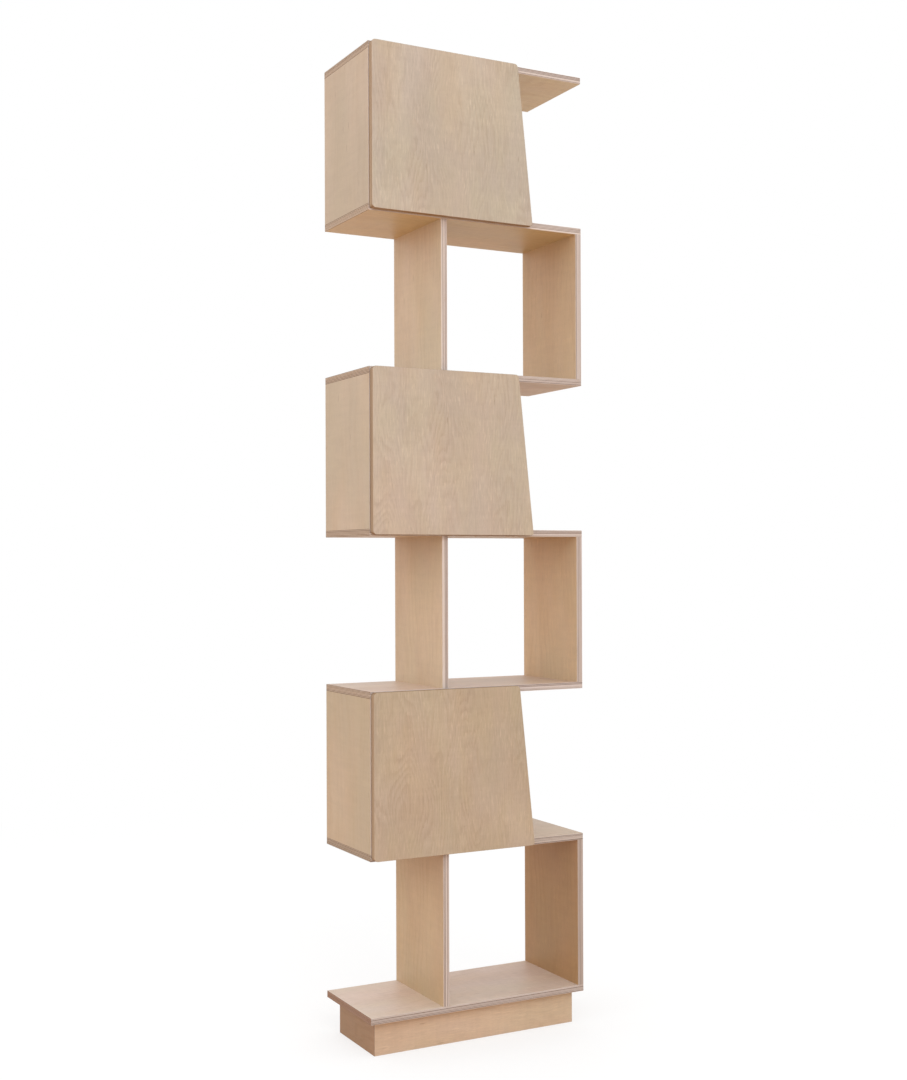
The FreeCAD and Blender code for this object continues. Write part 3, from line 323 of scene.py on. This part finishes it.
# What depends on how a surface faces
SHOWS_ENDS = (0.35, 0.75)
IS_BOARD_END = (0.5, 0.9)
IS_FACE = (0.62, 0.86)
HIGH_SIDE_SHIFT = (0.47, 1.31, 0.0)
LONG_ROUGHNESS, END_ADDS_ROUGHNESS = 0.56, 0.12
FACE_ROUGHNESS = (0.0, 0.7, 0.40, 0.52)


def find_ply(graph, place, ply):
    """Number of the ply that a point lies in, from the middle one, and how near its glue is."""
    waved = graph.calc("MULTIPLY_ADD", graph.wander(place, PLY_WANDER), WANDER_DEPTH, graph.split(place)[2])
    layer = graph.calc("DIVIDE", waved, ply)
    index = graph.calc("ROUND", layer)
    from_middle = graph.calc("ABSOLUTE", graph.calc("SUBTRACT", layer, index))
    return index, graph.ramp(from_middle, *SEAM)


def show_of_ends(graph, index, side_plies, along, across):
    """Whether a ply's fibres run across the board, and how far they point out of the cut."""
    # Every second ply, counted from a face, is crossed.
    crossed = graph.calc("SUBTRACT", side_plies, graph.calc("ABSOLUTE", index))
    crossed = graph.calc("ABSOLUTE", graph.calc("MODULO", crossed, 2.0))
    return crossed, graph.ramp(graph.mix_value(crossed, along, across), *SHOWS_ENDS)


def cut_colour(graph, given, index, seam, crossed, ends, specks):
    """Colour of a cut edge. Each ply has a tone of its own, and shows its end grain more or less."""
    place = given["Place"]
    own = graph.node("ShaderNodeTexWhiteNoise", {
        "Vector": graph.join(index, given["Seed"], 0.0),
    }, noise_dimensions="3D").outputs["Value"]
    drift = graph.noise(graph.vector_calc("ADD", place, graph.join(0.0, 0.0, index)), PLY_DRIFT)
    strength = graph.ramp(graph.calc("ADD", own, drift), *PLY_STRENGTH)
    weakest = graph.mix_value(crossed, WEAKEST_ALONG, WEAKEST_CROSSED)
    end_share = graph.calc("MULTIPLY", ends, graph.mix_value(strength, weakest, 1.0))
    long_colour = graph.mix(graph.noise(place, LONG_DASHES), given["Long"], FACE_WARM)
    end_colour = graph.mix(graph.ramp(specks, *SPECK_SHARE), given["End"], PORE)
    colour = graph.mix(end_share, long_colour, end_colour)
    colour = graph.shaded(colour, graph.ramp(own, *PLY_TONE, smooth=False))
    return graph.mix(graph.calc("MULTIPLY", seam, GLUE_SHARE), colour, GLUE)


def make_plywood_group(veneer):
    """Colour, height and roughness of a board, from a point's place in it and the way it faces."""
    graph, given, results = new_group(
        "birch_plywood",
        (("Place", VECTOR), ("Facing", VECTOR), ("Flame", VALUE), ("Contrast", VALUE),
         ("Ply", VALUE), ("Side plies", VALUE), ("Seed", VALUE), ("Long", COLOUR), ("End", COLOUR),
         ("Low tint", COLOUR), ("High tint", COLOUR), ("Edge tint", COLOUR), ("End tint", COLOUR)),
        (("Colour", COLOUR), ("Height", VALUE), ("Roughness", VALUE)),
    )
    place = given["Place"]
    towards = graph.split(given["Facing"])
    along, across, out = (graph.calc("ABSOLUTE", part) for part in towards)

    index, seam = find_ply(graph, place, given["Ply"])
    crossed, ends = show_of_ends(graph, index, given["Side plies"], along, across)
    specks = graph.noise(place, END_SPECKS)
    edge = cut_colour(graph, given, index, seam, crossed, ends, specks)
    edge = graph.tinted(edge, given["Edge tint"])
    edge = graph.mix(graph.ramp(along, *IS_BOARD_END), edge, graph.tinted(edge, given["End tint"]))
    edge_height = graph.calc("SUBTRACT", graph.calc("MULTIPLY", specks, SPECK_RELIEF), seam)
    edge_rough = graph.calc("MULTIPLY_ADD", ends, END_ADDS_ROUGHNESS, LONG_ROUGHNESS)

    # Each side of the board has a veneer of its own.
    high_side = graph.calc("GREATER_THAN", towards[2], 0.0)
    moved = graph.vector_calc("SCALE", HIGH_SIDE_SHIFT, high_side)
    face = graph.node("ShaderNodeGroup", node_tree=veneer)
    graph.put(face.inputs["Place"], graph.vector_calc("ADD", place, moved))
    graph.put(face.inputs["Flame"], given["Flame"])
    graph.put(face.inputs["Contrast"], given["Contrast"])
    # Each side's tint: its tone and, on some boards, painted light and shade for that side.
    tint = graph.mix(high_side, given["Low tint"], given["High tint"])
    face_colour = graph.tinted(face.outputs["Colour"], tint)
    face_height = face.outputs["Height"]
    face_rough = graph.ramp(face_height, *FACE_ROUGHNESS, smooth=False)

    on_face = graph.ramp(out, *IS_FACE)
    graph.put(results["Colour"], graph.mix(on_face, edge, face_colour))
    graph.put(results["Height"], graph.mix_value(on_face, edge_height, face_height))
    graph.put(results["Roughness"], graph.mix_value(on_face, edge_rough, face_rough))
    return graph.tree


# Sawn wood, with year rings round a pith beside the piece

# Metres from the pith to the piece's middle, and the plane that the rings lie in
FROM_PITH = (0.0, 0.05, 0.03)
RING_PLANE = (0.0, 1.0, 1.0)
SAWN_BEND = Layer((3.0, 12.0, 12.0))
SAWN_BEND_DEPTH = 0.01
SAWN_FIBRES = Layer((60.0, 1400.0, 1400.0), 3.0, 0.6)
SAWN_LATE = (0.4, 1.0)
SAWN_LATE_SHARE = 0.5
SAWN_FIBRE_SHARE = (0.3, 0.75, 0.0, 0.45)
SAWN_ROUGHNESS = (0.2, 0.8, 0.5, 0.66)


def make_sawn_wood_group():
    """Colour, height and roughness of solid wood, with its fibres along its own X."""
    graph, given, results = new_group(
        "sawn_wood",
        (("Place", VECTOR), ("Pale", COLOUR), ("Dark", COLOUR), ("Rings per metre", VALUE)),
        (("Colour", COLOUR), ("Height", VALUE), ("Roughness", VALUE)),
    )
    place = given["Place"]
    from_pith = graph.vector_calc("MULTIPLY", graph.vector_calc("ADD", place, FROM_PITH), RING_PLANE)
    bend = graph.wander(place, SAWN_BEND)
    reach = graph.calc("MULTIPLY_ADD", bend, SAWN_BEND_DEPTH, graph.length(from_pith))
    rings = graph.calc("MULTIPLY", reach, given["Rings per metre"])
    late = graph.ramp(graph.calc("FRACT", rings), *SAWN_LATE)
    fibres = graph.noise(place, SAWN_FIBRES)
    shade = graph.calc("MULTIPLY_ADD", late, SAWN_LATE_SHARE, graph.ramp(fibres, *SAWN_FIBRE_SHARE))
    graph.put(results["Colour"], graph.mix(shade, given["Pale"], given["Dark"]))
    graph.put(results["Height"], fibres)
    graph.put(results["Roughness"], graph.ramp(fibres, *SAWN_ROUGHNESS))
    return graph.tree


# Boards

PLYWOOD = make_plywood_group(make_veneer_group())

# A kind of plywood: its number of plies, and the colours of its edge along and across the fibres.
Sheet = namedtuple("Sheet", "plies long_colour end_colour")
BOARD_SHEET = Sheet(11, PLY_LONG, PLY_END)
DOOR_SHEET = Sheet(11, DOOR_PLY_LONG, DOOR_PLY_END)
BACK_SHEET = Sheet(5, PLY_LONG, PLY_END)

# A figure: how far the rings swing, in rings, and how strongly the grain shows.
Figure = namedtuple("Figure", "flame contrast")
STRAIGHT = Figure(6.0, 0.6)
FAINT = Figure(6.0, 0.35)
WAVY = Figure(14.0, 0.7)
FLAMED = Figure(30.0, 1.0)
SOFTLY_FLAMED = Figure(30.0, 0.8)

# Boards are cut this many metres apart from a sheet of veneer that starts again at its end.
CUT_STEP = (0.83, 0.61)
VENEER_SIZE = (4.0, 3.0)

# What a tint applies to: a board's face with the lower or the higher coordinate, all its cut
# edges, and on top of that its two ends, which take up more oil than the long edges.
LOW, HIGH, EDGE, END = "low", "high", "edge", "end"
NO_TINT = (1.0, 1.0, 1.0)
USUAL_TINTS = {LOW: NO_TINT, HIGH: NO_TINT, EDGE: NO_TINT, END: (0.92, 0.82, 0.67)}

# Tints of boards, with red, green and blue factors. They hold each board's own tone and also painted light
# and shade: faces, edges and ends made lighter where light falls on them and darker where shade does.
TONE_AND_PAINTED_LIGHT = {
    # shelf_1: its lighter, bluer top is painted light; its darker, browner end is painted shade near the
    # floor.
    "shelf_1": {HIGH: (1.16, 1.20, 1.42), EDGE: (0.91, 0.91, 0.91), END: (0.74, 0.52, 0.38)},
    "shelf_2": {HIGH: (0.96, 0.96, 1.04), EDGE: (0.83, 0.83, 0.82)},
    "shelf_3": {HIGH: (1.07, 1.04, 1.17), EDGE: (0.94, 0.95, 0.97)},
    "shelf_4": {EDGE: (0.95, 0.95, 0.95)},
    # shelf_5 and shelf_6: their warmer undersides are painted warm bounce light and shade inside the bays.
    "shelf_5": {LOW: (0.95, 0.90, 0.83)},
    "shelf_6": {LOW: (1.10, 1.09, 0.92), EDGE: (1.04, 1.05, 1.05)},
    # shelf_7: its much paler underside is painted bounce light under the top board.
    "shelf_7": {LOW: (1.18, 1.39, 1.54)},
    "centre_upright_1": {LOW: (0.93, 0.88, 0.78)},
    "centre_upright_2": {LOW: (1.00, 0.98, 0.95)},
    "centre_upright_3": {LOW: (1.02, 1.03, 1.04), EDGE: (1.12, 1.13, 1.13)},
    # right_upright_1: its much darker, browner inner face is painted shade of the lowest bay and of books,
    # not modelled, that stand beside it.
    "right_upright_1": {LOW: (0.79, 0.62, 0.44), EDGE: (0.73, 0.70, 0.68)},
    # right_upright_2 and right_upright_3: their warmer inner faces are painted warm bounce light inside the
    # bays.
    "right_upright_2": {LOW: (1.15, 1.09, 1.00), EDGE: (0.88, 0.87, 0.87)},
    "right_upright_3": {LOW: (1.10, 1.05, 0.97), EDGE: (0.87, 0.86, 0.86)},
    "left_panel_1": {LOW: (0.93, 0.93, 0.92)},
    "left_panel_2": {LOW: (0.97, 1.00, 1.06)},
    "left_panel_3": {LOW: (0.94, 0.97, 1.04)},
    "door_1": {LOW: (0.86, 0.90, 0.96)},
    "door_2": {LOW: (0.93, 1.01, 1.17)},
    "door_3": {LOW: (0.90, 1.00, 1.17)},
    "plinth_front": {LOW: (1.09, 1.10, 1.15)},
    # plinth_left: its much darker, browner side is painted shade under the bottom board near the floor.
    "plinth_left": {LOW: (0.60, 0.44, 0.32)},
}


def dress(name, material):
    """Give a CAD node its material."""
    slots = NODES[name].data.materials
    slots.clear()
    slots.append(material)


def own_axes(graph, name, grain, through, shift=(0.0, 0.0)):
    """A piece's own place and facing vectors, for grain along one axis and thickness along another."""
    low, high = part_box(name)
    order = (grain, X + Y + Z - grain - through, through)
    source = graph.node("ShaderNodeTexCoord").outputs
    place = graph.split(graph.vector_calc("SUBTRACT", source["Object"], tuple((low + high) / 2)))
    facing = graph.split(source["Normal"])
    placed = graph.join(*(place[axis] for axis in order))
    placed = graph.vector_calc("ADD", placed, (*shift, 0.0))
    return placed, graph.join(*(facing[axis] for axis in order))


def fill_from_group(graph, shader, group, inputs):
    """Colour and roughness from a wood group. Returns its height."""
    wood = graph.node("ShaderNodeGroup", node_tree=group)
    for socket, value in zip(wood.inputs, inputs):
        graph.put(socket, value)
    graph.put(shader["Base Color"], wood.outputs["Colour"])
    graph.put(shader["Roughness"], wood.outputs["Roughness"])
    return wood.outputs["Height"]


def plywood_material(name, seed, grain, through, figure, sheet):
    """Plywood for one board, cut from its own place in a sheet."""
    material, graph, shader = new_material(name)
    low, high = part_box(name)
    ply = (high - low)[through] / sheet.plies
    side_plies = (sheet.plies - 1) / 2
    shift = tuple(seed * step % size for step, size in zip(CUT_STEP, VENEER_SIZE))
    place, facing = own_axes(graph, name, grain, through, shift)
    # A board's tints over the usual ones: its own tone, and on some boards painted light and shade.
    own_tints = USUAL_TINTS | TONE_AND_PAINTED_LIGHT.get(name, {})
    tints = [(*own_tints[part], 1.0) for part in USUAL_TINTS]
    colours = (sheet.long_colour, sheet.end_colour, *tints)
    inputs = (place, facing, *figure, ply, side_plies, float(seed), *colours)
    height = fill_from_group(graph, shader, PLYWOOD, inputs)
    shader["Specular IOR Level"].default_value = 0.35
    add_bump(graph, shader, height, distance=0.00012, strength=0.5)
    return material


def dress_boards():
    """Every plywood board: its name, grain axis, thickness axis, figure and sheet."""
    boards = [(f"shelf_{number}", X, Z, WAVY, BOARD_SHEET) for number in SHELF_NUMBERS]
    for number in NUMBERS:
        boards += [(f"{kind}_upright_{number}", Z, X, STRAIGHT, BOARD_SHEET)
                   for kind in ("centre", "right", "inner")]
        boards.append((f"left_panel_{number}", Z, X, FAINT, BOARD_SHEET))
        boards.append((f"door_{number}", Z, Y, FLAMED, DOOR_SHEET))
    boards += [(f"plinth_{side}", X, Y, WAVY, BOARD_SHEET) for side in ("front", "back")]
    boards += [(f"plinth_{side}", Y, X, WAVY, BOARD_SHEET) for side in ("left", "right")]
    boards += [(f"back_panel_{number}", Z, Y, SOFTLY_FLAMED, BACK_SHEET) for number in NUMBERS]
    for seed, (name, *look) in enumerate(boards, start=1):
        dress(name, plywood_material(name, seed, *look))


# Small parts

SAWN_WOOD = make_sawn_wood_group()

# A sawn wood: its pale and dark colours and its year rings per metre.
PINE = (srgb(226, 203, 172), srgb(196, 164, 128), 420.0)
BEECH = (srgb(222, 188, 150), srgb(190, 150, 112), 600.0)

# A plating: its colour, that of its dull spots, and its least and greatest roughness.
Plating = namedtuple("Plating", "colour dull smooth rough")
NICKEL = Plating(srgb(226, 225, 222), srgb(214, 212, 208), 0.36, 0.44)
ZINC = Plating(srgb(208, 213, 220), srgb(190, 194, 200), 0.32, 0.42)
POLISHING = Layer((400.0, 400.0, 4200.0), 3.0, 0.6)
DULL_SPOTS = Layer((220.0, 220.0, 220.0), 3.0, 0.6)
SPOT_SHARE = (0.5, 0.8)
POLISH_RANGE = (0.7, 1.4)

MILKY, CLEARER = srgb(236, 236, 230), srgb(220, 221, 214)
HAZE = Layer((500.0, 500.0, 500.0), 3.0, 0.6)
HAZE_ROUGHNESS = (0.3, 0.7, 0.22, 0.38)


def sawn_material(name, grain, through, wood):
    """Solid wood for cleats, dowels and tongues."""
    material, graph, shader = new_material(name)
    place, _ = own_axes(graph, name, grain, through)
    height = fill_from_group(graph, shader, SAWN_WOOD, (place, *wood))
    shader["Specular IOR Level"].default_value = 0.4
    add_bump(graph, shader, height, distance=0.0001, strength=0.5)
    return material


def metal_material(name, plating):
    """Plated metal with a faint grain from polishing and a few dull spots."""
    material, graph, shader = new_material(name)
    place = graph.node("ShaderNodeTexCoord").outputs["Object"]
    grain = graph.noise(place, POLISHING)
    spots = graph.noise(place, DULL_SPOTS)
    colour = graph.mix(graph.ramp(spots, *SPOT_SHARE), plating.colour, plating.dull)
    roughness = graph.ramp(graph.calc("ADD", grain, spots), *POLISH_RANGE, plating.smooth, plating.rough)
    graph.put(shader["Base Color"], colour)
    graph.put(shader["Roughness"], roughness)
    shader["Metallic"].default_value = 0.88
    add_bump(graph, shader, grain, distance=0.000006, strength=0.1)
    return material


def rubber_material(name):
    """Clear soft plastic, a little milky."""
    material, graph, shader = new_material(name)
    place = graph.node("ShaderNodeTexCoord").outputs["Object"]
    haze = graph.noise(place, HAZE)
    graph.put(shader["Base Color"], graph.mix(haze, MILKY, CLEARER))
    graph.put(shader["Roughness"], graph.ramp(haze, *HAZE_ROUGHNESS))
    shader["Transmission Weight"].default_value = 0.6
    shader["IOR"].default_value = 1.45
    add_bump(graph, shader, haze, distance=0.00005, strength=0.4)
    return material


def dress_small_parts():
    """Cleats, dowels, tongues, hinges, screws and bumpers."""
    for name in ("plinth_cleat_front", "plinth_cleat_back"):
        dress(name, sawn_material(name, X, Z, PINE))
    for name in ("shelf_dowels", "plinth_tongues"):
        dress(name, sawn_material(name, Z, X, BEECH))
    nickel = metal_material("nickel_plated", NICKEL)
    zinc = metal_material("zinc_plated", ZINC)
    for number in NUMBERS:
        for part in ("hinge_cups", "hinge_links", "hinge_arms", "hinge_plates"):
            dress(f"door_{number}_{part}", nickel)
        for part in ("cup_pins", "cup_screws"):
            dress(f"door_{number}_{part}", zinc)
    for name in ("hinge_arm_pins", "hinge_plate_screws", "hinge_arm_screws", "cleat_screws"):
        dress(name, zinc)
    dress("door_bumpers", rubber_material("clear_rubber"))


# Stage: white surround, floor and lamps

WHITE = (1.0, 1.0, 1.0, 1.0)
SURROUND_LIGHT = 1.0
FLOOR_COLOUR = srgb(212, 173, 139)
FLOOR_RADIUS = 14.0
FLOOR_CORNERS = 128
SHADOW_DEPTH = 0.35
SHADOW_FADES = (1.2, 3.2, 1.0, 0.0)

# A lamp: its place, the side of its square and its power in watts.
KEY_LAMP = ((-1.2, -4.6, 3.4), 2.6, 60.0)
LEFT_LAMP = ((-4.2, -0.6, 2.4), 2.2, 17.0)


def make_surround():
    """Plain white all round, which lights the object softly."""
    world = bpy.data.worlds.new("surround")
    world.use_nodes = True
    background = world.node_tree.nodes["Background"].inputs
    background["Color"].default_value = WHITE
    background["Strength"].default_value = SURROUND_LIGHT
    SCENE.world = world


def seen_ray(graph):
    """One for rays that show the floor: from the camera, in a mirror and through glass."""
    path = graph.node("ShaderNodeLightPath").outputs
    seen = graph.calc("MAXIMUM", path["Is Camera Ray"], path["Is Glossy Ray"])
    return graph.calc("MAXIMUM", seen, path["Is Transmission Ray"])


def mix_shaders(graph, factor, first, second):
    made = graph.node("ShaderNodeMixShader", {0: factor, 1: first, 2: second})
    return made.outputs[0]


def floor_material():
    """Seen, white with a soft shadow near the object. The light it throws back has its own colour."""
    material, graph, shader = new_material("floor")
    shader["Base Color"].default_value = FLOOR_COLOUR
    shader["Roughness"].default_value = 0.9
    shader["Specular IOR Level"].default_value = 0.0
    away = graph.length(graph.node("ShaderNodeTexCoord").outputs["Object"])
    near = graph.ramp(away, *SHADOW_FADES)
    lit = graph.node("ShaderNodeBsdfDiffuse", {"Color": WHITE}).outputs[0]
    glow = graph.node("ShaderNodeEmission", {"Strength": 1.0}).outputs[0]
    white = mix_shaders(graph, graph.calc("MULTIPLY", near, SHADOW_DEPTH), glow, lit)
    coloured = material.node_tree.nodes["Principled BSDF"].outputs[0]
    shown = mix_shaders(graph, seen_ray(graph), coloured, white)
    graph.put(material.node_tree.nodes["Material Output"].inputs["Surface"], shown)
    return material


def make_floor():
    """Round floor that runs out into the white surround."""
    bpy.ops.mesh.primitive_circle_add(vertices=FLOOR_CORNERS, radius=FLOOR_RADIUS, fill_type="NGON")
    floor = bpy.context.object
    floor.name = "floor"
    floor.data.materials.append(floor_material())


def add_lamp(name, place, size, watts):
    """Square soft lamp that points at the middle of the object."""
    lamp = bpy.data.lights.new(name, "AREA")
    lamp.shape = "SQUARE"
    lamp.size = size
    lamp.energy = watts
    holder = bpy.data.objects.new(name, lamp)
    holder.location = place
    middle = (BOX_LOW + BOX_HIGH) / 2
    holder.rotation_euler = (middle - Vector(place)).to_track_quat("-Z", "Y").to_euler()
    SCENE.collection.objects.link(holder)


# Camera, from the perspective of the board corners in the picture

CAMERA_PLACE = (-1.592, -2.9975, 1.069)
CAMERA_YAW = math.radians(28.097)
CAMERA_PITCH = math.radians(0.212)
CAMERA_ROLL = math.radians(-0.199)
FOCAL_PIXELS = 1477.4
PICTURE_WIDTH, PICTURE_HEIGHT = 907, 1080
CENTRE_X, CENTRE_Y = 459.6, 556.1
SENSOR = 36.0


def aim_camera():
    camera = bpy.data.cameras.new("camera")
    camera.sensor_width = SENSOR
    camera.lens = FOCAL_PIXELS / PICTURE_HEIGHT * SENSOR
    camera.shift_x = (PICTURE_WIDTH / 2 - CENTRE_X) / PICTURE_HEIGHT
    camera.shift_y = (CENTRE_Y - PICTURE_HEIGHT / 2) / PICTURE_HEIGHT
    holder = bpy.data.objects.new("camera", camera)
    turn = Matrix.Rotation(-CAMERA_YAW, 4, "Z") @ Matrix.Rotation(math.pi / 2 + CAMERA_PITCH, 4, "X")
    turn = turn @ Matrix.Rotation(CAMERA_ROLL, 4, "Z")
    holder.matrix_world = Matrix.Translation(CAMERA_PLACE) @ turn
    SCENE.collection.objects.link(holder)
    SCENE.camera = holder


SCENE.view_settings.view_transform = "Standard"
dress_boards()
dress_small_parts()
make_surround()
make_floor()
add_lamp("key_lamp", *KEY_LAMP)
add_lamp("left_lamp", *LEFT_LAMP)
aim_camera()
